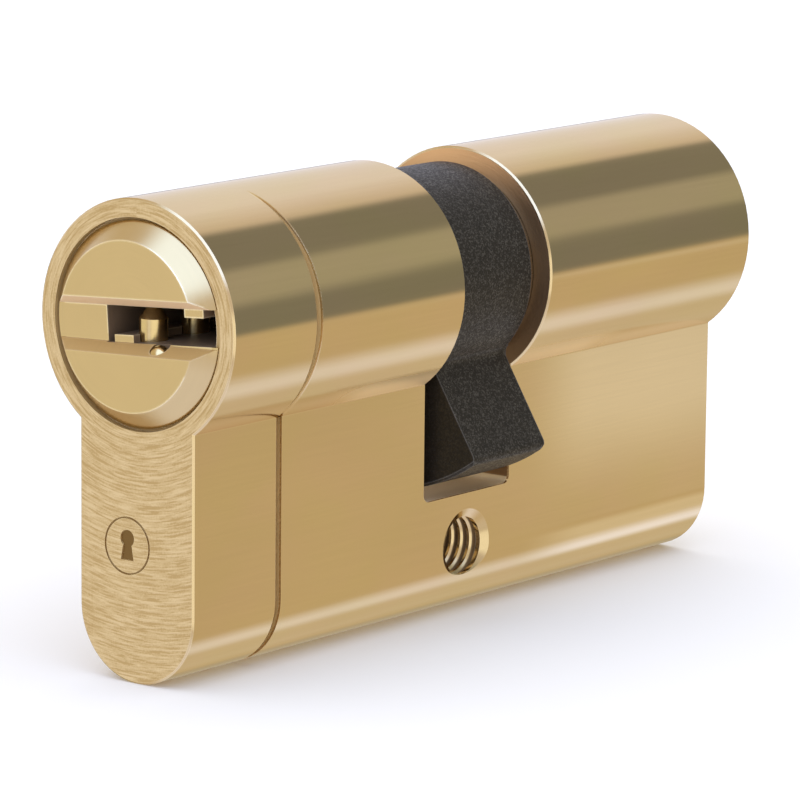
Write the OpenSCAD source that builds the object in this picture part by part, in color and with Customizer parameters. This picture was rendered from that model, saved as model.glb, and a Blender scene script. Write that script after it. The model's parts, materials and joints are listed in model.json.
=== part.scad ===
// Double-entry Euro-profile lock cylinder with a dimple keyway, a driven cam and a snap line.
// The plug axis runs along Y through the origin, the keyed front faces -Y and +Z is up.
// The origin lies on the plug axis, midway between the two end faces of the housing.

/* [Profile body] */
// Length between the two end faces of the housing
body_len = 60; // [60:2:80]
// Diameter of the round head that holds the plugs
head_d = 17; // [16.8:0.1:17.4]
// Height from the top of the head to the bottom of the foot
profile_h = 33; // [32:0.5:34]
// Width of the stem, which is also the diameter of the rounded foot
stem_w = 10; // [9.6:0.1:10.4]
// Chamfer around both end faces
edge_chamfer = 0.12; // [0.1:0.02:0.2]

/* [Cam slot] */
// Length of the gap in which the cam turns
slot_w = 10; // [9.8:0.1:10.4]
// Depth of the slot floor below the plug axis
slot_depth = 15.35; // [15.2:0.05:15.8]
// Radius in the two bottom corners of the slot
slot_corner_r = 0.6; // [0.3:0.1:0.9]

/* [Fixing hole] */
// Distance of the fixing hole below the plug axis
screw_drop = 19.2; // [18.8:0.1:19.4]
// Major diameter of the fixing thread
thread_major_d = 5; // [4.8:0.1:5.2]
// Minor diameter of the fixing thread
thread_minor_d = 4.2; // [4:0.1:4.3]
// Pitch of the fixing thread
thread_pitch = 0.8; // [0.7:0.1:0.9]
// Diameter of the countersink at each mouth of the fixing hole
screw_mouth_d = 5.4; // [5.3:0.1:5.6]
// Depth of each countersink
screw_mouth_depth = 0.35; // [0.3:0.05:0.4]

/* [Snap line] */
// Distance of the snap line behind the front face
snap_inset = 8.9; // [8.8:0.1:9]
// Width of the snap line in the stem
snap_w = 0.6; // [0.4:0.02:0.6]
// Greatest depth of the snap line
snap_depth = 0.5; // [0.3:0.1:0.6]

/* [Plugs] */
// Diameter of the plug in its bore
plug_d = 13; // [12.8:0.1:13]
// Diameter of the flange around the plug face
flange_d = 14; // [13.8:0.1:14]
// Diameter of the raised flat face of the plug
face_d = 11.6; // [11:0.1:12]
// How far the raised face stands out of the housing
face_proud = 1.1; // [0.8:0.1:1.3]
// Radial gap between a plug and its bore
running_gap = 0.03; // [0.02:0.01:0.06]

/* [Keyway] */
// Height of the keyway
keyway_h = 2.5; // [2.3:0.1:2.6]
// Height of the funnel at the plug face
funnel_h = 3.76; // [3.2:0.02:3.8]
// Distance from the plug axis to the closed side of the keyway
keyway_back = 2.6; // [2.4:0.1:3]
// Angle of the keyway to the horizontal
keyway_tilt = 4; // [0:1:6]
// Angle of the funnel to the horizontal
funnel_tilt = 3; // [0:1:6]

/* [Pins] */
// Number of pin stacks in each half
pins_per_side = 5; // [3:1:5]
// Distance of the first pin behind the end face
first_pin_inset = 1.75; // [1.75:0.05:1.95]
// Distance from one pin stack to the next
pin_pitch = 4.3; // [4.2:0.05:4.3]
// Diameter of the pin chambers
chamber_d = 2.4; // [2.3:0.05:2.4]
// Number of working turns in each driver spring
spring_turns = 8; // [6:1:10]

/* [Cam] */
// Outer diameter of the cam ring
cam_ring_d = 15; // [14.8:0.1:15.2]
// Width of the cam along the plug axis
cam_w = 8.3; // [8.1:0.1:8.4]
// Radius of the nose tip about the plug axis
nose_reach = 15; // [14.6:0.1:15.1]
// Width of the nose at its tip
nose_tip_w = 7; // [6:0.25:7.5]
// Flare of each nose flank towards the tip
nose_flare = 8.5; // [4:0.5:10]
// Angle of the nose from straight down, towards +X
nose_rest_angle = 23; // [0:1:29]

/* [Hidden] */
$fn = 64;
// Overrun of a cutter past the surface it opens
over = 1;
half_len = body_len / 2;
slot_half = slot_w / 2;
head_r = head_d / 2;
stem_half = stem_w / 2;
foot_z = head_r - profile_h + stem_half;
corner_z = -sqrt(head_r * head_r - stem_half * stem_half);

// Running fit of the plugs and the counterbore that takes each flange
plug_r = plug_d / 2;
bore_r = plug_r + running_gap;
flange_r = flange_d / 2;
flange_bore_r = flange_r + 0.22;
flange_bore_depth = 0.5;
flange_seat_gap = 0.05;
flange_inset = 0.15;
face_r = face_d / 2;

// Retaining groove, lip and spigot at the inner end of each plug, as distances from mid-length
groove_out = slot_half;
groove_in = slot_half - 0.6;
groove_r = 5.6;
lip_in = 3.7;
lip_r = 6.3;
spigot_r = 5;
spigot_in = 2.2;
drive_slot_h = 3;
drive_slot_depth = 1.6;
clip_gap = 0.05;
clip_r = 6.9;
clip_opening = 70;

// Depth of the snap line at the widest part of the head
snap_head_depth = snap_depth + 0.14;

// Cam
cam_half = cam_w / 2;
cam_ring_r = cam_ring_d / 2;
cam_bore_r = spigot_r + 0.05;
cam_bore_half = lip_in - 0.1;
cam_recess_r = lip_r + 0.15;
cam_key_r = 6;
cam_key_w = 2.6;
cam_edge = 0.2;
nose_corner_r = 0.6;
nose_fillet_r = 0.8;
root_overlap = 0.5;

// Coupler
coupler_t = 2;
coupler_rest = -2.1;
coupler_r = spigot_r - 0.1;
dog_len = 1.6;
dog_half_x = 4.4;
dog_h = drive_slot_h - 0.1;
lug_w = cam_key_w - 0.1;
lug_r = cam_key_r - 0.05;

// Keyway and its wards
funnel_depth = 1.2;
funnel_throat = 0.1;
funnel_floor = half_len + face_proud - funnel_depth;
keyway_end = slot_half + 0.2;
key_tip_half_w = 3.6;
funnel_spread = 0.5;
ward_w = 1.65;
lower_ward_h = 0.53;
lower_ward_x = -2.05;
upper_ward_h = 0.6;
upper_ward_x = 4.15;

// Pin stacks
chamber_r = chamber_d / 2;
pin_gap = 0.05;
pin_r = chamber_r - pin_gap;
pin_edge = 0.15;
nose_pin_r = 0.98;
nose_hole_r = 1.03;
nose_tip_r = 0.35;
nose_shoulder_z = 0.28;
nose_tip_z = keyway_h / 2 - pin_gap;
chamber_ledge = 0.5;
chamber_top_z = -keyway_h / 2 - chamber_ledge;
shear_z = -6.35;
driver_top_z = -6.6;
driver_len = 5;
spool_depth = 0.3;
spool_rim = 1.4;
cap_len = 1.9;
foot_bottom_z = foot_z - stem_half;
cap_top_z = foot_bottom_z + cap_len;
// Drop of each key pin from its raised place to the shear line, front to middle
key_cuts = [0.9, 1.5, 0.6, 1.2, 0.4];

// Driver springs
spring_r = 0.85;
spring_wire_r = 0.16;
spring_sides = 5;
spring_steps = 10;
spring_gap = 0.03;

// Hardened guard pins
guard_r = 0.75;
guard_x = 2.9;
guard_top_z = -6.4;
guard_len = 8;
guard_inset = 2.6;
face_guard_r = 0.7;
face_guard_x = 2.25;
face_guard_y = half_len + 0.2;
face_guard_top_z = face_guard_x * tan(keyway_tilt) - keyway_h / 2;
face_guard_len = 3.2;

// Keyhole mark engraved in the front face
mark_x = -0.8;
mark_z = -15.1;
mark_r = 2;
mark_line = 0.14;
mark_depth = 0.1;

brass = [0.79, 0.65, 0.42];
dark_steel = [0.25, 0.24, 0.23];
bright_steel = [0.72, 0.72, 0.70];
pin_brass = [0.80, 0.62, 0.30];

sides = ["front", "rear"];
stacks = [1 : pins_per_side];
stack_kinds = ["key_pin", "driver_pin", "driver_spring"];
side_parts = ["plug", "retaining_clip", "face_guard_pin", "housing_guard_pins", "chamber_caps"];

// Distance of stack i from mid-length
function stack_y(i) = half_len - first_pin_inset - (i - 1) * pin_pitch;

// Turns a solid of revolution about Z, or a cutter along Z, to lie along Y
module along_y() {
    rotate([-90, 0, 0])
        children();
}

// Places a front piece, drawn at -Y, at the named side
module at_side(side) {
    rotate([0, 0, side == "front" ? 0 : 180])
        children();
}

// Solid of revolution about Y between two distances, with chamfered ends
module barrel(r, y_low, y_high, chamfer) {
    along_y()
        rotate_extrude()
            polygon([
                [0, y_low], [r - chamfer, y_low], [r, y_low + chamfer],
                [r, y_high - chamfer], [r - chamfer, y_high], [0, y_high]
            ]);
}

// Plain round cutter or rod along Y
module rod_y(r, y_low, y_high) {
    translate([0, y_low, 0])
        along_y()
            cylinder(r = r, h = y_high - y_low);
}

// Plain upright round cutter or rod
module rod_z(r, z_low, z_high) {
    translate([0, 0, z_low])
        cylinder(r = r, h = z_high - z_low);
}

// Box given by its low and high corners
module block(low, high) {
    translate(low)
        cube(high - low);
}

// ---------- Housing ----------

// Euro profile: round head in two lengths, parallel stem and half-round foot, all with chamfered ends
module profile_solid() {
    for (side = sides)
        at_side(side)
            barrel(head_r, -half_len, -slot_half, edge_chamfer);
    translate([0, 0, foot_z])
        linear_extrude(height = -foot_z)
            polygon([
                [edge_chamfer - stem_half, -half_len], [stem_half - edge_chamfer, -half_len],
                [stem_half, edge_chamfer - half_len], [stem_half, half_len - edge_chamfer],
                [stem_half - edge_chamfer, half_len], [edge_chamfer - stem_half, half_len],
                [-stem_half, half_len - edge_chamfer], [-stem_half, edge_chamfer - half_len]
            ]);
    translate([0, 0, foot_z])
        along_y()
            rotate_extrude(angle = 180)
                polygon([
                    [0, -half_len], [stem_half - edge_chamfer, -half_len],
                    [stem_half, edge_chamfer - half_len], [stem_half, half_len - edge_chamfer],
                    [stem_half - edge_chamfer, half_len], [0, half_len]
                ]);
}

// Gap for the cam, with a rounded floor
module cam_slot() {
    corner_y = slot_half - slot_corner_r;
    block(
        [-head_r - over, -slot_half, slot_corner_r - slot_depth],
        [head_r + over, slot_half, head_r + over]
    );
    block([-head_r - over, -corner_y, -slot_depth], [head_r + over, corner_y, 0]);
    for (y = [-corner_y, corner_y])
        translate([-head_r - over, y, slot_corner_r - slot_depth])
            rotate([0, 90, 0])
                cylinder(r = slot_corner_r, h = 2 * (head_r + over));
}

// Fixing thread across the stem: a plain bore at the minor diameter with a V groove at each pitch
module fixing_hole() {
    flare = (screw_mouth_d - thread_minor_d) / screw_mouth_depth;
    groove_half = thread_pitch * 0.375;
    outer_groove = floor((stem_half - screw_mouth_depth - groove_half) / thread_pitch);
    translate([0, 0, -screw_drop])
        rotate([0, 90, 0]) {
            translate([0, 0, -stem_half - over])
                cylinder(d = thread_minor_d, h = stem_w + 2 * over);
            for (i = [-outer_groove : outer_groove])
                translate([0, 0, i * thread_pitch])
                    rotate_extrude()
                        polygon([
                            [0, -groove_half], [thread_minor_d / 2, -groove_half],
                            [thread_major_d / 2, 0], [thread_minor_d / 2, groove_half], [0, groove_half]
                        ]);
            for (turn = [0, 180])
                rotate([turn, 0, 0])
                    translate([0, 0, stem_half - screw_mouth_depth])
                        cylinder(
                            d1 = thread_minor_d, d2 = screw_mouth_d + flare * over,
                            h = screw_mouth_depth + over
                        );
        }
}

// Ring cutter about Y whose inner radius is r, for the tapering ends of the snap line
module snap_ring(r, root_half, mouth_half) {
    reach = r + head_r;
    along_y()
        rotate_extrude()
            polygon([
                [r, -root_half], [r + snap_head_depth, -mouth_half], [reach, -mouth_half],
                [reach, mouth_half], [r + snap_head_depth, mouth_half], [r, root_half]
            ]);
}

// One side of the snap line: it fades out near the top of the head and under the foot
module snap_line() {
    head_shift = 0.9;
    head_ring_r = head_r + head_shift - snap_head_depth;
    foot_shift = 0.6;
    foot_ring_r = stem_half + foot_shift - snap_depth;
    root_half = 0.12;
    mouth_half = 0.34;
    side_reach = 3 * head_r;
    translate([0, snap_inset - half_len, 0]) {
        intersection() {
            translate([-head_shift, 0, 0])
                snap_ring(head_ring_r, root_half, mouth_half);
            block([0, -over, corner_z], [side_reach, over, side_reach]);
        }
        block([stem_half - snap_depth, -snap_w / 2, foot_z], [stem_half + over, snap_w / 2, corner_z]);
        intersection() {
            translate([-foot_shift, 0, foot_z])
                snap_ring(foot_ring_r, snap_w / 2, snap_w / 2);
            block([0, -over, foot_z - side_reach], [side_reach, over, foot_z]);
        }
    }
}

module housing_guard_holes() {
    for (x = [-guard_x, guard_x])
        translate([x, guard_inset - half_len, 0])
            rod_z(guard_r, guard_top_z - guard_len, 0);
}

// Keyhole in a ring
module keyhole_mark() {
    eye_r = mark_r * 0.3;
    eye_z = mark_r * 0.25;
    foot_half = mark_r * 0.28;
    translate([mark_x, mark_depth - half_len, mark_z])
        rotate([90, 0, 0])
            linear_extrude(height = mark_depth + over) {
                difference() {
                    circle(r = mark_r);
                    circle(r = mark_r - mark_line);
                }
                translate([0, eye_z])
                    circle(r = eye_r);
                polygon([
                    [-eye_r / 2, eye_z], [eye_r / 2, eye_z],
                    [foot_half, -mark_r / 2], [-foot_half, -mark_r / 2]
                ]);
            }
}

module housing() {
    color(brass)
        difference() {
            profile_solid();
            cam_slot();
            rod_y(bore_r, -half_len - over, half_len + over);
            for (side = sides)
                at_side(side) {
                    rod_y(flange_bore_r, -half_len - over, flange_bore_depth - half_len);
                    for (i = stacks)
                        translate([0, -stack_y(i), 0])
                            rod_z(chamber_r, foot_bottom_z - over, 0);
                    housing_guard_holes();
                }
            fixing_hole();
            keyhole_mark();
            snap_line();
            mirror([1, 0, 0])
                snap_line();
        }
}

// ---------- Plugs ----------

// Funnel at the plug face that narrows to the keyway. Its upper and lower halves overlap, and they
// spread towards the open side of the keyway
module key_funnel() {
    mouth_y = half_len + face_proud;
    throat_y = funnel_floor + funnel_throat;
    reach = flange_r + over;
    half_h = keyway_h / 2;
    slope = (funnel_h / 2 - half_h) / (mouth_y - throat_y);
    mouth_half = funnel_h / 2 + slope * over;
    for (lip = [0, 1])
        rotate([0, lip == 0 ? -funnel_tilt - funnel_spread : funnel_spread - funnel_tilt, 0])
            mirror([0, 0, lip])
                translate([-reach, 0, 0])
                    rotate([90, 0, 90])
                        linear_extrude(height = 2 * reach)
                            polygon([
                                [-mouth_y - over, -half_h / 2], [-funnel_floor, -half_h / 2],
                                [-funnel_floor, half_h], [-throat_y, half_h], [-mouth_y - over, mouth_half]
                            ]);
}

// Keyway from the funnel floor to the inner end of the plug, open on the +X side
module keyway() {
    half_h = keyway_h / 2;
    lower_ward = [ward_w, funnel_floor, lower_ward_h + over];
    upper_ward = [ward_w, funnel_floor, upper_ward_h + over];
    difference() {
        union() {
            block([-keyway_back, -funnel_floor - over, -half_h], [flange_r + over, -keyway_end, half_h]);
            block([-keyway_back, -keyway_end - over, -half_h], [key_tip_half_w, over - spigot_in, half_h]);
        }
        translate([lower_ward_x, -funnel_floor, -half_h - over])
            cube(lower_ward);
        translate([upper_ward_x, -funnel_floor, half_h - upper_ward_h])
            cube(upper_ward);
    }
}

// Stepped upright hole that stops a key pin's body but lets its nose into the keyway
module plug_chamber() {
    rod_z(chamber_r, -flange_r - over, chamber_top_z);
    rod_z(nose_hole_r, chamber_top_z - over, keyway_h / 2);
}

// Outline of the plug from its raised face to the spigot, turned about Y
module plug_blank() {
    flange_back_y = flange_bore_depth - flange_seat_gap - half_len;
    along_y()
        rotate_extrude()
            polygon([
                [0, -half_len - face_proud], [face_r, -half_len - face_proud],
                [flange_r, flange_inset - half_len], [flange_r, flange_back_y], [plug_r, flange_back_y],
                [plug_r, -groove_out],
                [groove_r, -groove_out], [groove_r, -groove_in], [lip_r, -groove_in], [lip_r, -lip_in],
                [spigot_r, -lip_in], [spigot_r, -spigot_in], [0, -spigot_in]
            ]);
}

module plug(side) {
    color(brass)
        at_side(side)
            difference() {
                plug_blank();
                key_funnel();
                rotate([0, -keyway_tilt, 0])
                    keyway();
                for (i = stacks)
                    translate([0, -stack_y(i), 0])
                        plug_chamber();
                translate([face_guard_x, -face_guard_y, 0])
                    rod_z(
                        face_guard_r, face_guard_top_z - face_guard_len, face_guard_top_z + face_guard_r / 2
                    );
                block(
                    [-plug_r - over, -spigot_in - drive_slot_depth, -drive_slot_h / 2],
                    [plug_r + over, over - spigot_in, drive_slot_h / 2]
                );
            }
}

// Spring-steel C clip in the plug's groove, which bears on the face of the cam slot
module retaining_clip(side) {
    clip_bore_r = groove_r + clip_gap;
    color(dark_steel)
        at_side(side)
            rotate([0, 90 + clip_opening / 2, 0])
                along_y()
                    rotate_extrude(angle = 360 - clip_opening)
                        polygon([
                            [clip_bore_r, clip_gap - groove_out], [clip_r, clip_gap - groove_out],
                            [clip_r, -groove_in - clip_gap], [clip_bore_r, -groove_in - clip_gap]
                        ]);
}

// Hardened dome-ended pin in the lower face of the key funnel
module face_guard_pin(side) {
    dome_z = face_guard_top_z - face_guard_r;
    color(pin_brass)
        at_side(side)
            translate([face_guard_x, -face_guard_y, 0]) {
                rod_z(face_guard_r, face_guard_top_z - face_guard_len, dome_z);
                translate([0, 0, dome_z])
                    sphere(r = face_guard_r);
            }
}

// Hardened pins beside the first chamber, pressed down into the stem from the plug bore
module housing_guard_pins(side) {
    color(bright_steel)
        at_side(side)
            for (x = [-guard_x, guard_x])
                translate([x, guard_inset - half_len, 0])
                    rod_z(guard_r, guard_top_z - guard_len, guard_top_z);
}

// Brass plugs that close the chambers, turned flush with the rounded foot
module chamber_caps(side) {
    color(brass)
        at_side(side)
            for (i = stacks)
                intersection() {
                    translate([0, -stack_y(i), 0])
                        rod_z(chamber_r, foot_bottom_z - over, cap_top_z);
                    translate([0, 0, foot_z])
                        rod_y(stem_half, -half_len, half_len);
                }
}

// ---------- Pin stacks ----------

// Key pin in its raised place: round nose in the keyway, body that ends above the shear line
module key_pin(side, i) {
    foot = shear_z + key_cuts[i - 1];
    body_top = chamber_top_z - pin_gap;
    color(pin_brass)
        at_side(side)
            translate([0, -stack_y(i), 0])
                rotate_extrude()
                    polygon([
                        [0, foot], [pin_r - pin_edge, foot], [pin_r, foot + pin_edge],
                        [pin_r, body_top - pin_edge], [pin_r - pin_edge, body_top], [nose_pin_r, body_top],
                        [nose_pin_r, nose_shoulder_z], [nose_tip_r, nose_tip_z], [0, nose_tip_z]
                    ]);
}

// Spool-shaped driver pin, which resists picking, at the shear line
module driver_pin(side, i) {
    waist_r = pin_r - spool_depth;
    waist_low = driver_top_z - driver_len + spool_rim;
    waist_high = driver_top_z - spool_rim;
    foot = driver_top_z - driver_len;
    color(bright_steel)
        at_side(side)
            translate([0, -stack_y(i), 0])
                rotate_extrude()
                    polygon([
                        [0, foot], [pin_r - pin_edge, foot], [pin_r, foot + pin_edge],
                        [pin_r, waist_low - spool_depth], [waist_r, waist_low],
                        [waist_r, waist_high], [pin_r, waist_high + spool_depth],
                        [pin_r, driver_top_z - pin_edge], [pin_r - pin_edge, driver_top_z], [0, driver_top_z]
                    ]);
}

// Point k around ring j of the spring wire
function spring_point(j, k, low, high) =
    let (turn = 360 * j / spring_steps)
    let (rise = low + (high - low) * j / (spring_turns * spring_steps))
    let (around = 360 * k / spring_sides)
    let (r = spring_r + spring_wire_r * cos(around))
    [r * cos(turn), r * sin(turn), rise + spring_wire_r * sin(around)];

// Compression spring between a driver pin and its cap
module driver_spring(side, i) {
    low = cap_top_z + spring_gap + spring_wire_r;
    high = driver_top_z - driver_len - spring_gap - spring_wire_r;
    rings = spring_turns * spring_steps;
    n = spring_sides;
    points = [for (j = [0 : rings]) for (k = [0 : n - 1]) spring_point(j, k, low, high)];
    walls = [
        for (j = [0 : rings - 1]) for (k = [0 : n - 1])
            for (half = [0, 1])
                let (a = j * n + k)
                let (b = j * n + (k + 1) % n)
                half == 0 ? [a, a + n, b] : [b, a + n, b + n]
    ];
    ends = [
        [for (k = [0 : n - 1]) k],
        [for (k = [0 : n - 1]) rings * n + n - 1 - k]
    ];
    color(bright_steel)
        at_side(side)
            translate([0, -stack_y(i), 0])
                polyhedron(points = points, faces = concat(walls, ends));
}

// ---------- Cam and coupler ----------

// Outline of the nose, pointing along +X: flared flanks, rounded tip corners and filleted roots
module nose_outline() {
    t = tan(nose_flare);
    tip_half = nose_tip_w / 2;
    tip_u = sqrt(nose_reach * nose_reach - tip_half * tip_half);
    axis_half = tip_half - tip_u * t;
    corner_v = axis_half - nose_corner_r / cos(nose_flare);
    corner_reach = nose_reach - nose_corner_r;
    corner_u = far_crossing(corner_v, t, corner_reach);
    corner = [corner_u, corner_v + corner_u * t];
    fillet_v = axis_half + nose_fillet_r / cos(nose_flare);
    fillet_reach = cam_ring_r + nose_fillet_r;
    fillet_u = far_crossing(fillet_v, t, fillet_reach);
    fillet = [fillet_u, fillet_v + fillet_u * t];
    normal = [-sin(nose_flare), cos(nose_flare)];
    intersection() {
        circle(r = nose_reach);
        union() {
            for (s = [-1, 1])
                translate([corner[0], s * corner[1]])
                    circle(r = nose_corner_r);
            polygon([
                corner + nose_corner_r * normal, corner * nose_reach / corner_reach,
                [nose_reach + over, 0],
                flip(corner * nose_reach / corner_reach), flip(corner + nose_corner_r * normal),
                flip([cam_bore_r, axis_half + cam_bore_r * t]), [cam_bore_r, axis_half + cam_bore_r * t]
            ]);
        }
    }
    for (s = [0, 1])
        mirror([0, s])
            difference() {
                polygon([
                    fillet - nose_fillet_r * normal, fillet, fillet * cam_ring_r / fillet_reach,
                    fillet * (cam_ring_r - root_overlap) / fillet_reach,
                    fillet - (nose_fillet_r + root_overlap) * normal
                ]);
                translate(fillet)
                    circle(r = nose_fillet_r);
            }
}

function flip(p) = [p[0], -p[1]];

// Abscissa where the line of slope t through [0, v] meets the circle of radius r, on the far side
function far_crossing(v, t, r) =
    (-v * t + sqrt(v * v * t * t - (1 + t * t) * (v * v - r * r))) / (1 + t * t);

// Nose with its tip edges broken by a chamfer
module cam_nose() {
    intersection() {
        translate([0, -cam_half, 0])
            along_y()
                linear_extrude(height = cam_w)
                    rotate(90 - nose_rest_angle)
                        nose_outline();
        barrel(nose_reach, -cam_half, cam_half, cam_edge);
    }
}

module cam() {
    color(dark_steel)
        difference() {
            union() {
                barrel(cam_ring_r, -cam_half, cam_half, cam_edge);
                cam_nose();
            }
            rod_y(cam_bore_r, -cam_half - over, cam_half + over);
            for (side = sides)
                at_side(side)
                    rod_y(cam_recess_r, -cam_half - over, -cam_bore_half);
            block(
                [-cam_key_w / 2, -cam_half - over, -cam_key_r],
                [cam_key_w / 2, cam_half + over, cam_key_r]
            );
        }
}

// Disc with a driving dog on each face and two lugs that slide in the cam's keyways
module coupler() {
    disc_end = coupler_rest + coupler_t;
    color(bright_steel) {
        rod_y(coupler_r, coupler_rest, disc_end);
        block(
            [-dog_half_x, coupler_rest - dog_len, -dog_h / 2],
            [dog_half_x, disc_end + dog_len, dog_h / 2]
        );
        block([-lug_w / 2, coupler_rest, -lug_r], [lug_w / 2, disc_end, lug_r]);
    }
}

housing();
cam();
coupler();
for (side = sides) {
    plug(side);
    retaining_clip(side);
    face_guard_pin(side);
    housing_guard_pins(side);
    chamber_caps(side);
    for (i = stacks) {
        key_pin(side, i);
        driver_pin(side, i);
        driver_spring(side, i);
    }
}
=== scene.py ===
import json
import math

import bpy
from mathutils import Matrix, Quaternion, Vector


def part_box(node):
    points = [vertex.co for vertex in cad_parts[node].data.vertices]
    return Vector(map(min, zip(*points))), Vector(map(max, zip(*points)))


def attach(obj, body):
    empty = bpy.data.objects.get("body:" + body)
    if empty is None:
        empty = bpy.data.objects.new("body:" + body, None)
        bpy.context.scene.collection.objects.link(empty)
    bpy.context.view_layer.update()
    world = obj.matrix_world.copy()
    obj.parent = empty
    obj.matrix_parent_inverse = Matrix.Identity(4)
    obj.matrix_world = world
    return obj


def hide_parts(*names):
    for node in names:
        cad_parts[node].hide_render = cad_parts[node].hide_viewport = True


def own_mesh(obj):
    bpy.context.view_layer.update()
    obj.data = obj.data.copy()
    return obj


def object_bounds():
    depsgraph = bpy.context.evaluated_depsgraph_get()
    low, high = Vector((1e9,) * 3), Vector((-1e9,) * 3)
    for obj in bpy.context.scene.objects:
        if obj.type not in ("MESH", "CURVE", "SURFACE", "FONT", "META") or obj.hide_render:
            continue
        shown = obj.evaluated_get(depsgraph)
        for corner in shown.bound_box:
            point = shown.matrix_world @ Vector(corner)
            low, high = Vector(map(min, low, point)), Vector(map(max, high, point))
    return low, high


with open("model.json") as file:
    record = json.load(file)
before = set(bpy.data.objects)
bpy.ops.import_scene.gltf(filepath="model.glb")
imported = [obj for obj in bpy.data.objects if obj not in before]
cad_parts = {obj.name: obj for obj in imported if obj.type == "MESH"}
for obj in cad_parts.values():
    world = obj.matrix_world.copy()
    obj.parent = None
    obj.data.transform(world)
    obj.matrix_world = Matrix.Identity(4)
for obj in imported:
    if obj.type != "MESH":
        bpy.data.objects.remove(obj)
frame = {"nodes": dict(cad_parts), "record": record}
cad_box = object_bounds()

MM = 0.001
scene = bpy.context.scene
record = frame["record"]

# ---------------------------------------------------------------- camera
# A long lens at the front right corner, a little above the cylinder
CAMERA_AT = Vector((217.5, -281.5, 56.4)) * MM
CAMERA_LOOKS_AT = Vector((-1.07, 0.0, -9.38)) * MM
CAMERA_ROLL = math.radians(0.58)
SENSOR_MM = 36.0
LENS_MM = 228.2


def add_camera():
    data = bpy.data.cameras.new("camera")
    data.sensor_width = SENSOR_MM
    data.lens = LENS_MM
    data.clip_start = 0.01
    data.clip_end = 20.0
    camera = bpy.data.objects.new("camera", data)
    scene.collection.objects.link(camera)
    aim = (CAMERA_LOOKS_AT - CAMERA_AT).to_track_quat("-Z", "Y")
    camera.rotation_mode = "QUATERNION"
    camera.location = CAMERA_AT
    camera.rotation_quaternion = aim @ Quaternion((0, 0, 1), CAMERA_ROLL)
    scene.camera = camera


# ---------------------------------------------------------------- node helpers
def node(tree, kind, settings=None, **inputs):
    """A shader node with its settings and its inputs; a socket is linked, anything else is its value."""
    made = tree.nodes.new(kind)
    for name, value in (settings or {}).items():
        setattr(made, name, value)
    for name, value in inputs.items():
        plug(tree, value, made.inputs[name.replace("_", " ")])
    return made


def plug(tree, value, socket):
    if isinstance(value, bpy.types.NodeSocket):
        tree.links.new(value, socket)
    else:
        socket.default_value = value


def maths(tree, operation, *values):
    made = tree.nodes.new("ShaderNodeMath")
    made.operation = operation
    for socket, value in zip(made.inputs, values):
        plug(tree, value, socket)
    return made.outputs[0]


def vector_maths(tree, operation, *values):
    made = tree.nodes.new("ShaderNodeVectorMath")
    made.operation = operation
    for socket, value in zip(made.inputs, values):
        plug(tree, value, socket)
    return made.outputs["Vector"]


def ramp_between(tree, value, start, end, low=0.0, high=1.0):
    """low up to start, high from end on, and a smooth step between them."""
    made = node(tree, "ShaderNodeMapRange", {"interpolation_type": "SMOOTHSTEP"},
                From_Min=start, From_Max=end, To_Min=low, To_Max=high)
    plug(tree, value, made.inputs["Value"])
    return made.outputs["Result"]


def mix_colours(tree, factor, a, b, blend="MIX"):
    made = tree.nodes.new("ShaderNodeMix")
    made.data_type = "RGBA"
    made.blend_type = blend
    plug(tree, factor, made.inputs[0])
    plug(tree, a, made.inputs[6])
    plug(tree, b, made.inputs[7])
    return made.outputs[2]


def colour_ramp(tree, value, stops):
    """The colour at value among stops, each a place from 0 to 1 and the colour there."""
    made = tree.nodes.new("ShaderNodeValToRGB")
    elements = made.color_ramp.elements
    while len(elements) < len(stops):
        elements.new(1.0)
    for element, (place, colour) in zip(elements, stops):
        element.position = place
        element.color = shade(colour)
    plug(tree, value, made.inputs[0])
    return made.outputs[0]


def combine(tree, x, y, z):
    return node(tree, "ShaderNodeCombineXYZ", X=x, Y=y, Z=z).outputs[0]


def separate(tree, vector):
    return node(tree, "ShaderNodeSeparateXYZ", Vector=vector).outputs


def shade(colour, level=1.0):
    return (colour[0] * level, colour[1] * level, colour[2] * level, 1.0)


# ---------------------------------------------------------------- studio
WHITE_CARD = (0.97, 0.975, 1.14)
WARM_CARD = (0.70, 0.60, 0.43)
TAN_CARD = (0.78, 0.72, 0.68)
FOOT_CARD = (0.76, 0.69, 0.59)
LOW_CARD = (0.55, 0.49, 0.38)
GREY_GAP = (0.47, 0.47, 0.42)
DARK_GAP = (0.27, 0.275, 0.26)

# The cards stand round the cylinder, parallel to its axis. Each row is an angle in degrees from +X
# towards +Z and the light there; between two rows the light changes evenly.
CARDS_BEHIND = [
    (-180, WHITE_CARD), (-174, DARK_GAP), (-163, DARK_GAP), (-152, LOW_CARD), (-128, LOW_CARD),
    (-118, WARM_CARD), (-106, FOOT_CARD), (-80, FOOT_CARD), (-71, WHITE_CARD), (-64, WHITE_CARD),
    (-50, WARM_CARD), (-15, WARM_CARD),
    (-11, DARK_GAP), (9, DARK_GAP), (17, GREY_GAP), (42, GREY_GAP), (49, DARK_GAP),
    (83, DARK_GAP), (90, TAN_CARD), (118, WHITE_CARD), (180, WHITE_CARD),
]
FACE_CARD = (0.93, 0.89, 0.77)
EDGE_CARD = (1.2, 1.18, 1.1)
KEY_CARD = (1.38, 1.76, 2.75)
CARDS_IN_FRONT = [
    (-180, FACE_CARD), (-156, FACE_CARD), (-146, TAN_CARD), (-118, TAN_CARD), (-102, WHITE_CARD),
    (-50, WHITE_CARD), (-30, TAN_CARD), (-24, EDGE_CARD), (3, EDGE_CARD), (12, TAN_CARD),
    (28, TAN_CARD), (42, KEY_CARD), (100, KEY_CARD), (118, TAN_CARD), (140, WARM_CARD),
    (172, WARM_CARD), (180, FACE_CARD),
]
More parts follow.
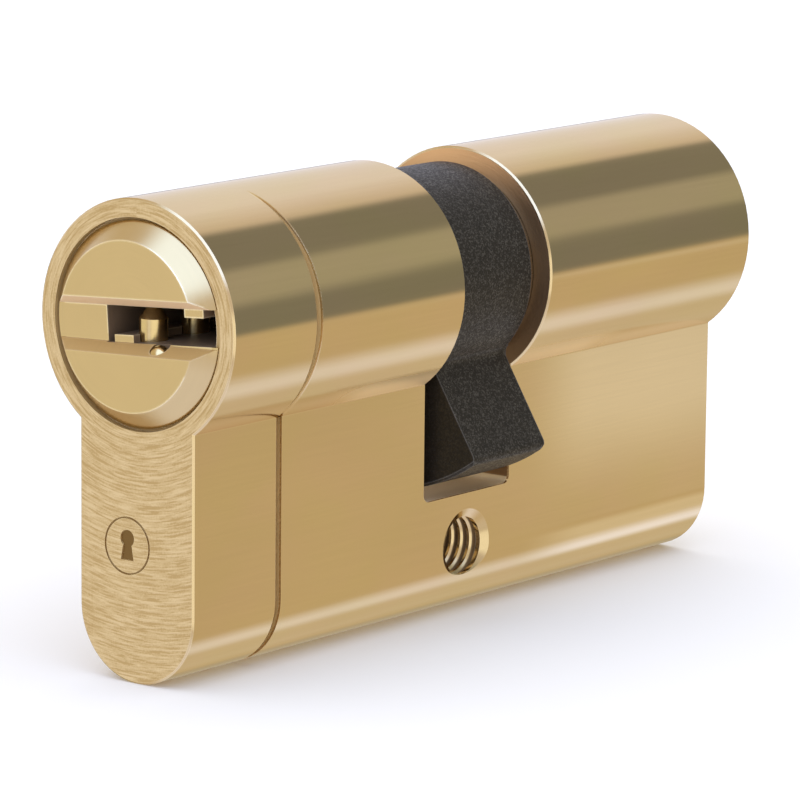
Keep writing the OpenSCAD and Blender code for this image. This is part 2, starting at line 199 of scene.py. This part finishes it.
# Directions are unit vectors here, so a range of y or z below is a range of directions.
# The cards in front give way to those behind over this range of y
FRONT_TO_BEHIND = (-0.15, 0.4)
# Degrees by which the upper cards lean, and the ranges of y and z over which they start to
CARD_LEAN = 10.0
LEAN_BEHIND = (0.75, 0.82)
LEAN_ABOVE = (0.0, 0.2)
# A soft glow low down behind the cylinder, which lifts the rear half of the stem
GLOW = (0.10, 0.13, 0.19)
GLOW_BEHIND = (0.776, 0.803)
GLOW_BOTTOM = (-0.205, -0.180)
GLOW_TOP = (-0.175, -0.140)
FILL_HEIGHTS = (-0.2, 1.0)
FILL_FROM_LEVEL = 0.45
FILL_FROM_ABOVE = 1.40
BACKDROP = (1.0, 1.0, 1.0, 1.0)
FLOOR_SIZE = 6.0
FLOOR_COLOUR = (0.95, 0.93, 0.91, 1.0)


def card_ring(tree, turn, cards):
    """The light of one ring of cards at a place on its circle, 0 to 1."""
    return colour_ramp(tree, turn, [((angle + 180) / 360, light) for angle, light in cards])


def low_glow(tree, y, z):
    """The light of the glow behind the cylinder in the direction that y and z belong to."""
    height = maths(tree, "MULTIPLY", ramp_between(tree, z, *GLOW_BOTTOM),
                   ramp_between(tree, z, *GLOW_TOP, 1.0, 0.0))
    level = maths(tree, "MULTIPLY", ramp_between(tree, y, *GLOW_BEHIND), height)
    return vector_maths(tree, "MULTIPLY", GLOW, combine(tree, level, level, level))


def add_studio():
    """Long cards round the cylinder for the metal to reflect, and an even fill for the rest."""
    world = bpy.data.worlds.new("studio")
    scene.world = world
    world.use_nodes = True
    tree = world.node_tree
    tree.nodes.clear()
    direction = node(tree, "ShaderNodeTexCoord").outputs["Generated"]
    x, y, z = separate(tree, direction)
    turn = maths(tree, "ADD", maths(tree, "DIVIDE", maths(tree, "ARCTAN2", z, x), 2 * math.pi), 0.5)
    lean = maths(tree, "MULTIPLY", ramp_between(tree, y, *LEAN_BEHIND, 0.0, CARD_LEAN / 360),
                 ramp_between(tree, z, *LEAN_ABOVE))
    turn = maths(tree, "SUBTRACT", turn, lean)
    cards = mix_colours(tree, ramp_between(tree, y, *FRONT_TO_BEHIND),
                        card_ring(tree, turn, CARDS_IN_FRONT), card_ring(tree, turn, CARDS_BEHIND))
    cards = vector_maths(tree, "ADD", cards, low_glow(tree, y, z))
    metal_light = node(tree, "ShaderNodeBackground", Color=cards)
    fill = ramp_between(tree, z, *FILL_HEIGHTS, FILL_FROM_LEVEL, FILL_FROM_ABOVE)
    fill_light = node(tree, "ShaderNodeBackground", Color=(1, 1, 1, 1), Strength=fill)
    backdrop = node(tree, "ShaderNodeBackground", Color=BACKDROP)
    path = node(tree, "ShaderNodeLightPath").outputs
    lit = mix_shaders(tree, path["Is Diffuse Ray"], metal_light, fill_light)
    seen = mix_shaders(tree, path["Is Camera Ray"], lit, backdrop)
    node(tree, "ShaderNodeOutputWorld", Surface=seen.outputs[0])


def mix_shaders(tree, factor, a, b):
    made = tree.nodes.new("ShaderNodeMixShader")
    plug(tree, factor, made.inputs[0])
    plug(tree, a.outputs[0], made.inputs[1])
    plug(tree, b.outputs[0], made.inputs[2])
    return made


def add_floor():
    """A plain pale floor under the foot. The metal doesn't reflect it: the cards show in its place."""
    level = cad_box[0].z
    half = FLOOR_SIZE / 2
    corners = [(-half, -half, level), (half, -half, level), (half, half, level), (-half, half, level)]
    mesh = bpy.data.meshes.new("floor")
    mesh.from_pydata(corners, [], [(0, 1, 2, 3)])
    floor = bpy.data.objects.new("floor", mesh)
    scene.collection.objects.link(floor)
    material = bpy.data.materials.new("floor")
    material.use_nodes = True
    surface = material.node_tree.nodes["Principled BSDF"].inputs
    surface["Base Color"].default_value = FLOOR_COLOUR
    surface["Roughness"].default_value = 0.9
    surface["Specular IOR Level"].default_value = 0.0
    mesh.materials.append(material)
    floor.visible_glossy = False


# ---------------------------------------------------------------- materials
BRASS = (0.725, 0.553, 0.325)
TARNISHED_BRASS = (0.71, 0.56, 0.305)
# Painted highlight on the rear half's stem and on the foot's shoulder
PAINTED_HIGHLIGHT_BRASS = (0.87, 0.73, 0.50)
# Painted light in the corner under the head, beside the slot
CORNER_PAINTED_LIGHT = (1.0, 0.80, 0.50)
PLUG_BRASS = (0.68, 0.52, 0.275)
CAP_BRASS = (0.66, 0.47, 0.25)
PIN_BRASS = (0.74, 0.57, 0.28)
# Edge colours: edge wear together with a painted edge highlight
PLUG_EDGE_WEAR_AND_HIGHLIGHT = (1.0, 0.88, 0.62)
HOUSING_EDGE_WEAR_AND_HIGHLIGHT = (0.81, 0.65, 0.41)
# The funnel's slopes: upper one painted light, lower one painted shade
UPPER_FUNNEL_PAINTED_LIGHT = (0.76, 0.53, 0.31)
LOWER_FUNNEL_PAINTED_SHADE = (0.52, 0.33, 0.125)
# Colours of the lathe marks on the end faces, from the bottom of a mark to its crest
LATHE_MARKS = [
    (0.43, (0.62, 0.45, 0.235)), (0.488, (0.745, 0.575, 0.34)),
    (0.522, (0.765, 0.595, 0.36)), (0.58, (0.86, 0.69, 0.45)),
]
# Painted shade in the grooves, bores and thread; the keyhole mark keeps its own dark brown
GROOVE_PAINTED_SHADE = (0.55, 0.38, 0.165)
THREAD_PAINTED_SHADE = (0.30, 0.185, 0.085)
MARK_BRASS = (0.23, 0.14, 0.055)
# The cam slot: walls painted shade, floor painted light
SLOT_WALL_PAINTED_SHADE = (0.32, 0.205, 0.11)
SLOT_FLOOR_PAINTED_LIGHT = (0.97, 0.76, 0.47)
# Painted shade inside the keyway
KEYWAY_PAINTED_SHADE = (0.20, 0.138, 0.088)
BRIGHT_STEEL = (0.60, 0.56, 0.47)
SPRING_STEEL = (0.34, 0.30, 0.23)
CAM_BLACK = (0.0172, 0.0130, 0.0082)
CAM_GRAIN = (0.066, 0.056, 0.043)
# Cam edge colour: edge wear together with a painted edge highlight
CAM_EDGE_WEAR_AND_HIGHLIGHT = (0.17, 0.16, 0.15)
CAM_TINT = (1.0, 0.93, 0.80, 1.0)
EDGE_TINT = (0.94, 0.90, 0.80, 1.0)
# Roughness of the drawn sides, of the turned end faces, and of recesses
SATIN = 0.12
TURNED = 0.34
DULL = 0.5
SLOT_FLOOR_DULLNESS = 0.6
# Grains of the cam's steel
GRAINS_PER_MM = 10.0

# The profile, the slot and the mark's depth, in millimetres, as in the CAD
HEAD_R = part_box("housing")[1].x / MM
FOOT_R = 5.0
STEM_TOP = math.sqrt(HEAD_R ** 2 - FOOT_R ** 2)
FOOT_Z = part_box("housing")[0].z / MM + FOOT_R
HALF_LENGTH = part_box("housing")[1].y / MM
SLOT_HALF = 5.0
SLOT_FLOOR = -15.35
MARK_DEPTH = 0.1
SCREW = next(m for m in record["mounts"] if m["name"] == "fixing_screw")
SCREW_Z = SCREW["pos_m"][2] / MM
THREAD_R = SCREW["dims"]["r_mm"]
THREAD_HALF = SCREW["dims"]["length_mm"] / 2
# Where the keyway opens into its funnel, half the funnel's height, and the heights of its lower lip
KEYWAY_MOUTH = 29.9
FUNNEL_HALF = 2.4
LOWER_LIP = (-2.6, -1.0)
# The keyway's painted shade fades out over the first range of radius, and the edge wear and
# painted edge highlights over the second
PLUG_SKIN = (6.40, 6.46)
PLUG_RIM = (6.4, 6.6)
# A place between these depths below the profile turns from an outer face into a recess
RECESS_DEPTHS = (0.14, 0.2)
# The rear half carries a painted highlight: it sets in over these ranges of y and, on the stem, of z.
# The foot's shoulder carries a painted highlight between these heights
PAINTED_HIGHLIGHT_ALONG = (6.0, 15.0)
PAINTED_HIGHLIGHT_UP_STEM = (-19.0, -11.0)
PAINTED_HIGHLIGHT_SHOULDER = (FOOT_Z - 2.0, FOOT_Z - 0.7)
# The painted light in the corner under the head, over a dark reflection there, fades out over these
# ranges: up the head, and along it past the slot
CORNER_FADE = (-STEM_TOP + 0.5, -STEM_TOP + 1.9)
CORNER_ENDS = (SLOT_HALF + 7.0, SLOT_HALF + 13.0)


class Surface:
    """A principled material with what its patterns start from: the place on the piece in millimetres,
    the distance from the plug axis, and how far the surface faces along that axis."""

    def __init__(self, name, **values):
        self.material = bpy.data.materials.new(name)
        self.material.use_nodes = True
        self.tree = self.material.node_tree
        self.tree.nodes.clear()
        self.shader = node(self.tree, "ShaderNodeBsdfPrincipled", **values)
        node(self.tree, "ShaderNodeOutputMaterial", Surface=self.shader.outputs[0])
        coordinates = node(self.tree, "ShaderNodeTexCoord").outputs
        self.place = vector_maths(self.tree, "MULTIPLY", coordinates["Object"], (1 / MM,) * 3)
        self.x, self.y, self.z = separate(self.tree, self.place)
        self.normal = separate(self.tree, coordinates["Normal"])
        self.radius = self.length(self.x, self.z)
        self.along = maths(self.tree, "ABSOLUTE", self.y)
        self.facing = maths(self.tree, "ABSOLUTE", self.normal["Y"])

    def length(self, a, b):
        squares = [maths(self.tree, "MULTIPLY", side, side) for side in (a, b)]
        return maths(self.tree, "SQRT", maths(self.tree, "ADD", *squares))

    def set(self, name, value):
        plug(self.tree, value, self.shader.inputs[name])

    def tinted(self, colour, level):
        """A colour made lighter or darker by a number that varies over the piece."""
        return vector_maths(self.tree, "MULTIPLY", colour, combine(self.tree, level, level, level))

    def stretched_noise(self, stretch, **values):
        """Noise over the piece, squeezed by stretch in features per millimetre along x, y and z."""
        place = vector_maths(self.tree, "MULTIPLY", self.place, stretch)
        return node(self.tree, "ShaderNodeTexNoise", Vector=place, Scale=1.0, **values).outputs["Fac"]

    def turning_marks(self, per_mm, run_mm, **values):
        """Noise drawn out into arcs about the plug axis, run_mm long and per_mm to a millimetre."""
        tree = self.tree
        angle = maths(tree, "ARCTAN2", self.x, maths(tree, "MULTIPLY", self.z, -1.0))
        across = maths(tree, "MULTIPLY", self.radius, per_mm)
        around = maths(tree, "MULTIPLY", maths(tree, "MULTIPLY", angle, self.radius), 1 / run_mm)
        place = combine(tree, across, around, self.y)
        return node(tree, "ShaderNodeTexNoise", Vector=place, Scale=1.0, **values).outputs["Fac"]

    def between(self, value, low, high, edge=0.02):
        """1 where value lies between low and high, and 0 elsewhere."""
        above = ramp_between(self.tree, value, low - edge, low)
        below = ramp_between(self.tree, value, high, high + edge, 1.0, 0.0)
        return maths(self.tree, "MULTIPLY", above, below)

    def both(self, *factors):
        """The product of several masks, which is 1 only where each of them is."""
        product = factors[0]
        for factor in factors[1:]:
            product = maths(self.tree, "MULTIPLY", product, factor)
        return product

    def on_end_faces(self):
        """1 where the surface faces along the plug axis and 0 on the sides."""
        return ramp_between(self.tree, self.facing, 0.93, 0.98)

    def edge_wear_and_highlights(self, radius_mm):
        """1 along every edge, where the rounded normal leaves the true one, and 0 on the plain faces:
        where edge wear and painted edge highlights go.
        """
        tree = self.tree
        rounded = node(tree, "ShaderNodeBevel", {"samples": 6}, Radius=radius_mm * MM).outputs["Normal"]
        true = node(tree, "ShaderNodeNewGeometry").outputs["Normal"]
        alike = node(tree, "ShaderNodeVectorMath", {"operation": "DOT_PRODUCT"})
        plug(tree, rounded, alike.inputs[0])
        plug(tree, true, alike.inputs[1])
        return ramp_between(tree, alike.outputs["Value"], 0.998, 0.95)

    def bump(self, height, depth_mm):
        made = node(self.tree, "ShaderNodeBump", Height=height, Strength=1.0, Distance=depth_mm * MM)
        self.set("Normal", made.outputs["Normal"])


def mixed(tree, factor, a, b):
    """A plain number between a and b."""
    made = node(tree, "ShaderNodeMapRange", To_Min=a, To_Max=b)
    plug(tree, factor, made.inputs["Value"])
    return made.outputs["Result"]


def depth_below_profile(s):
    """How deep a place lies inside the Euro profile, seen along the plug axis."""
    tree = s.tree
    below_foot = maths(tree, "MINIMUM", maths(tree, "SUBTRACT", s.z, FOOT_Z), 0.0)
    above_axis = maths(tree, "MAXIMUM", s.z, 0.0)
    in_stem = maths(tree, "SUBTRACT", FOOT_R, s.length(s.x, maths(tree, "ADD", below_foot, above_axis)))
    in_head = maths(tree, "SUBTRACT", HEAD_R, s.radius)
    return maths(tree, "MAXIMUM", in_stem, in_head)


def lathe_marks(s, grain):
    """The marks of the end faces: long arcs, short arcs and the grain between them."""
    coarse = s.turning_marks(6.0, 2.6, Detail=2.0, Roughness=0.6, Distortion=0.3)
    fine = s.turning_marks(10.0, 1.0, Detail=2.0, Roughness=0.6)
    return mixed(s.tree, 0.42, coarse, mixed(s.tree, 0.5, fine, grain))


def side_colour(s, drawn):
    """The drawn sides: cloudy brass, tarnished in patches, with a painted highlight on the rear half's
    stem and foot shoulder.
    """
    tree = s.tree
    cloudy = s.stretched_noise((0.12, 0.05, 0.12), Detail=2.0)
    tone = s.both(mixed(tree, drawn, 0.96, 1.04), mixed(tree, cloudy, 0.94, 1.06))
    tarnished = ramp_between(tree, s.stretched_noise((0.2, 0.1, 0.2), Detail=2.0), 0.3, 0.7)
    below_head = ramp_between(tree, s.z, -STEM_TOP - 0.1, -STEM_TOP, 1.0, 0.0)
    stem = s.both(ramp_between(tree, s.z, *PAINTED_HIGHLIGHT_UP_STEM), below_head)
    shoulder = s.between(s.z, *PAINTED_HIGHLIGHT_SHOULDER, 0.6)
    # A painted highlight on the rear half, on the stem below the head and on the foot's shoulder
    painted_highlight = s.both(ramp_between(tree, s.y, *PAINTED_HIGHLIGHT_ALONG), maths(tree, "MAXIMUM", stem, shoulder))
    colour = mix_colours(tree, tarnished, shade(BRASS), shade(TARNISHED_BRASS))
    return s.tinted(mix_colours(tree, painted_highlight, colour, shade(PAINTED_HIGHLIGHT_BRASS)), tone)


def corner_under_head(s):
    """1 low on the underside of the head, beside the stem and near the slot, where light is painted in,
    and 0 elsewhere.
    """
    tree = s.tree
    return s.both(ramp_between(tree, s.z, -STEM_TOP, -STEM_TOP + 0.06),
                  ramp_between(tree, s.z, *CORNER_FADE, 1.0, 0.0),
                  ramp_between(tree, s.along, *CORNER_ENDS, 1.0, 0.0),
                  ramp_between(tree, s.facing, 0.1, 0.3, 1.0, 0.0))


def housing_recesses(s):
    """Masks of the grooves and bores, the keyhole mark, the thread and the cam slot."""
    tree = s.tree
    deep = ramp_between(tree, depth_below_profile(s), *RECESS_DEPTHS)
    groove = s.both(deep, s.between(s.along, SLOT_HALF + 0.05, HALF_LENGTH - 0.06))
    near_face = ramp_between(tree, s.along, HALF_LENGTH - MARK_DEPTH - 0.05, HALF_LENGTH - MARK_DEPTH)
    mark = s.both(groove, near_face, ramp_between(tree, s.z, -HEAD_R, -HEAD_R - 0.5))
    across = maths(tree, "ABSOLUTE", s.x)
    inside_mouths = ramp_between(tree, across, THREAD_HALF - 0.1, THREAD_HALF, 1.0, 0.0)
    from_screw = s.length(s.y, maths(tree, "SUBTRACT", s.z, SCREW_Z))
    thread = s.both(deep, s.between(from_screw, THREAD_R + 0.22, THREAD_R + 0.5, 0.1), inside_mouths)
    between_walls = ramp_between(tree, s.along, SLOT_HALF + 0.03, SLOT_HALF + 0.05, 1.0, 0.0)
    slot = s.both(deep, between_walls, ramp_between(tree, s.z, SLOT_FLOOR - 0.1, SLOT_FLOOR - 0.02))
    return groove, mark, thread, slot


def housing_brass():
    """Satin brass drawn along the sides, arcs from the lathe on the end faces, edge wear with painted
    edge highlights, a corner under the head painted pale as painted light, and a dull brown painted as
    shade in the grooves, bores and thread and on the slot's walls, whose floor is painted light."""
    s = Surface("housing_brass", Specular_IOR_Level=0.2, Specular_Tint=EDGE_TINT)
    tree = s.tree
    ends = s.on_end_faces()
    drawn = s.stretched_noise((6.0, 0.10, 6.0), Detail=3.0, Roughness=0.6)
    grain = s.stretched_noise((7.0, 1.0, 7.0), Detail=2.0, Roughness=0.7)
    marks = lathe_marks(s, grain)
    colour = mix_colours(tree, ends, side_colour(s, drawn), colour_ramp(tree, marks, LATHE_MARKS))
    # The corner under the head is painted pale and dull: painted light over a dark reflection
    corner = corner_under_head(s)
    colour = mix_colours(tree, corner, colour, shade(CORNER_PAINTED_LIGHT))
    groove, mark, thread, slot = housing_recesses(s)
    # Grooves, bores and thread are painted dull brown as painted shade; the keyhole mark is its own
    # colour
    for recess, dull_brass in ((groove, GROOVE_PAINTED_SHADE), (mark, MARK_BRASS), (thread, THREAD_PAINTED_SHADE)):
        colour = mix_colours(tree, recess, colour, shade(dull_brass))
    # Slot walls painted dark brown as painted shade, lighter towards the top as painted light; the floor
    # painted light
    painted_slot_walls = s.tinted(SLOT_WALL_PAINTED_SHADE, ramp_between(tree, s.z, 4.0, HEAD_R, 1.0, 3.0))
    colour = mix_colours(tree, slot, colour, mix_colours(tree, ends, shade(SLOT_FLOOR_PAINTED_LIGHT), painted_slot_walls))
    # Edges painted paler: edge wear and a painted edge highlight
    wear_and_highlight = s.both(s.edge_wear_and_highlights(0.09), mixed(tree, grain, 0.7, 1.1))
    s.set("Base Color", mix_colours(tree, wear_and_highlight, colour, shade(HOUSING_EDGE_WEAR_AND_HIGHLIGHT)))

    slot_floor = s.both(slot, mixed(tree, ends, SLOT_FLOOR_DULLNESS, 0.0))
    groove_only = maths(tree, "SUBTRACT", groove, mark)
    matt = maths(tree, "MAXIMUM", maths(tree, "MAXIMUM", groove_only, thread), slot_floor)
    s.set("Metallic", mixed(tree, matt, 1.0, 0.0))
    dull = maths(tree, "MAXIMUM", maths(tree, "MAXIMUM", slot, matt), corner)
    s.set("Roughness", mixed(tree, dull, mixed(tree, ends, SATIN, TURNED), DULL))
    s.bump(mixed(tree, ends, maths(tree, "MULTIPLY", drawn, 0.012), marks), 0.03)
    return s.material


def plug_masks(s):
    """Masks of the keyway and of the two slopes of its funnel."""
    tree = s.tree
    behind_mouth = ramp_between(tree, s.along, KEYWAY_MOUTH - 0.03, KEYWAY_MOUTH - 0.01, 1.0, 0.0)
    keyway = s.both(behind_mouth, ramp_between(tree, s.radius, *PLUG_SKIN, 1.0, 0.0))
    steep = ramp_between(tree, maths(tree, "ABSOLUTE", s.normal["Z"]), 0.5, 0.7)
    height = maths(tree, "ABSOLUTE", s.z)
    near_keyway = ramp_between(tree, height, FUNNEL_HALF, FUNNEL_HALF + 0.3, 1.0, 0.0)
    funnel = s.both(steep, near_keyway, maths(tree, "SUBTRACT", 1.0, behind_mouth))
    return keyway, funnel


def plug_brass():
    """Fine turned brass with edge wear and painted edge highlights, a warmer key funnel painted lighter
    on its upper slope and darker on its lower one as painted light and shade, and a dull keyway painted
    dark as painted shade.
    """
    s = Surface("plug_brass", Specular_IOR_Level=0.2)
    tree = s.tree
    marks = s.turning_marks(7.0, 6.0, Detail=2.0, Roughness=0.5)
    patches = s.stretched_noise((0.25, 0.25, 0.25), Detail=2.0)
    tone = s.both(mixed(tree, marks, 0.96, 1.04), mixed(tree, patches, 0.96, 1.04))
    keyway, funnel = plug_masks(s)
    # The keyway is painted dark brown: painted shade
    colour = mix_colours(tree, keyway, s.tinted(PLUG_BRASS, tone), shade(KEYWAY_PAINTED_SHADE))
    # The funnel is painted lighter on its upper slope and darker on its lower one: painted light and
    # shade
    upper = ramp_between(tree, s.z, -0.1, 0.1)
    painted_funnel_slopes = mix_colours(tree, upper, shade(LOWER_FUNNEL_PAINTED_SHADE), shade(UPPER_FUNNEL_PAINTED_LIGHT))
    colour = mix_colours(tree, funnel, colour, s.tinted(painted_funnel_slopes, tone))
    off_rim = ramp_between(tree, s.radius, *PLUG_RIM, 1.0, 0.0)
    lower_lip = s.between(s.z, *LOWER_LIP, 0.3)
    # Edges painted cream: edge wear and a painted edge highlight, less in the keyway and on the lower lip
    wear_and_highlight = s.both(s.edge_wear_and_highlights(0.2), mixed(tree, patches, 0.8, 1.1), mixed(tree, keyway, 1.0, 0.25),
                  off_rim, mixed(tree, lower_lip, 1.0, 0.2))
    s.set("Base Color", mix_colours(tree, wear_and_highlight, colour, shade(PLUG_EDGE_WEAR_AND_HIGHLIGHT)))
    dull = maths(tree, "MAXIMUM", keyway, funnel)
    s.set("Metallic", mixed(tree, dull, 1.0, 0.0))
    s.set("Roughness", mixed(tree, dull, mixed(tree, marks, 0.18, 0.26), DULL))
    s.bump(marks, 0.001)
    return s.material


def plain_turned(name, colour, roughness):
    """A small turned piece, with fine rings along its own length."""
    s = Surface(name, Metallic=1.0)
    rings = s.stretched_noise((0.4, 0.4, 9.0), Detail=2.0)
    ringed = s.tinted(colour, mixed(s.tree, rings, 0.92, 1.08))
    # Edges painted lighter: edge wear and a painted edge highlight
    s.set("Base Color", mix_colours(s.tree, s.edge_wear_and_highlights(0.05), ringed, shade(colour, 1.3)))
    s.set("Roughness", mixed(s.tree, rings, roughness * 0.8, roughness * 1.3))
    s.bump(rings, 0.002)
    return s.material


def cam_steel():
    """Black sintered steel: fine grains, some of them brighter, clumped darker and lighter, with faces
    along the axis painted darker as painted shade, and edge wear with painted edge highlights."""
    s = Surface("cam_steel", Specular_IOR_Level=0.32, Specular_Tint=CAM_TINT)
    tree = s.tree
    cells = node(tree, "ShaderNodeTexVoronoi", Vector=s.place, Scale=GRAINS_PER_MM, Randomness=1.0)
    bright = separate(tree, cells.outputs["Color"])["X"]
    clumps = s.stretched_noise((1.4, 1.4, 1.4), Detail=4.0, Roughness=0.7)
    sheen = ramp_between(tree, bright, 0.55, 1.0)
    # Faces along the axis get fewer bright grains and are painted darker: painted shade
    grain = s.both(sheen, mixed(tree, s.facing, 1.0, 0.25))
    level = s.both(mixed(tree, clumps, 0.6, 1.4), mixed(tree, s.facing, 1.0, 0.6))
    colour = s.tinted(mix_colours(tree, grain, shade(CAM_BLACK), shade(CAM_GRAIN)), level)
    # Edges painted grey: edge wear and a painted edge highlight
    wear_and_highlight = s.both(s.edge_wear_and_highlights(0.14), mixed(tree, clumps, 0.2, 0.9))
    s.set("Base Color", mix_colours(tree, wear_and_highlight, colour, shade(CAM_EDGE_WEAR_AND_HIGHLIGHT)))
    s.set("Roughness", mixed(tree, bright, 0.60, 0.36))
    s.bump(bright, 0.010)
    return s.material


MATERIALS = {
    "housing_brass": housing_brass,
    "plug_brass": plug_brass,
    "cap_brass": lambda: plain_turned("cap_brass", CAP_BRASS, 0.25),
    "pin_brass": lambda: plain_turned("pin_brass", PIN_BRASS, 0.2),
    "cam_steel": cam_steel,
    "bright_steel": lambda: plain_turned("bright_steel", BRIGHT_STEEL, 0.2),
    "spring_steel": lambda: plain_turned("spring_steel", SPRING_STEEL, 0.28),
}


def paint_nodes():
    made = {slot: build() for slot, build in MATERIALS.items()}
    for part in record["subparts"]:
        for slot in frame["nodes"][part["node"]].material_slots:
            slot.material = made[part["material_slot"]]
    return made


# ---------------------------------------------------------------- driver springs
SPRING_TURNS = 8
STEPS_PER_TURN = 28
WIRE_SIDES = 10
WIRE_R = 0.16 * MM
COIL_R = 0.85 * MM


def coil_height(turn, low, high):
    """The height of the wire's middle after a number of turns: the first and last turns lie closed."""
    closed = 2 * WIRE_R
    if turn < 1:
        return low + closed * turn
    if turn > SPRING_TURNS - 1:
        return high - closed * (SPRING_TURNS - turn)
    return low + closed + (high - low - 2 * closed) * (turn - 1) / (SPRING_TURNS - 2)


def coil_mesh(name, centre, bottom, top):
    """A round wire wound from bottom to top."""
    steps = SPRING_TURNS * STEPS_PER_TURN
    vertices, faces = [], []
    for k in range(steps + 1):
        turn = k / STEPS_PER_TURN
        a = 2 * math.pi * turn
        out = Vector((math.cos(a), math.sin(a), 0))
        height = coil_height(turn, bottom + WIRE_R, top - WIRE_R)
        middle = Vector((centre.x + COIL_R * math.cos(a), centre.y + COIL_R * math.sin(a), height))
        for s in range(WIRE_SIDES):
            b = 2 * math.pi * s / WIRE_SIDES
            vertices.append(middle + out * (WIRE_R * math.cos(b)) + Vector((0, 0, WIRE_R * math.sin(b))))
    for k in range(steps):
        for s in range(WIRE_SIDES):
            a, b = k * WIRE_SIDES + s, k * WIRE_SIDES + (s + 1) % WIRE_SIDES
            faces.append((a, b, b + WIRE_SIDES, a + WIRE_SIDES))
    faces.append(tuple(range(WIRE_SIDES)))
    faces.append(tuple(steps * WIRE_SIDES + s for s in reversed(range(WIRE_SIDES))))
    mesh = bpy.data.meshes.new(name)
    mesh.from_pydata(vertices, [], faces)
    mesh.shade_smooth()
    return mesh


def add_springs(material):
    """A smooth coil in place of each faceted driver spring."""
    for side in ("front", "rear"):
        for i in range(1, 6):
            low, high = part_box(f"{side}_driver_spring_{i}")
            name = f"{side}_coil_{i}"
            coil = bpy.data.objects.new(name, coil_mesh(name, (low + high) / 2, low.z, high.z))
            scene.collection.objects.link(coil)
            coil.data.materials.append(material)
            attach(coil, "housing")
            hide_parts(f"{side}_driver_spring_{i}")
            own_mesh(coil)


# ---------------------------------------------------------------- build
scene.view_settings.view_transform = "Standard"
add_camera()
add_studio()
add_floor()
materials = paint_nodes()
# The black cam would show as a smear in the satin brass beside it
frame["nodes"]["cam"].visible_glossy = False
add_springs(materials["spring_steel"])
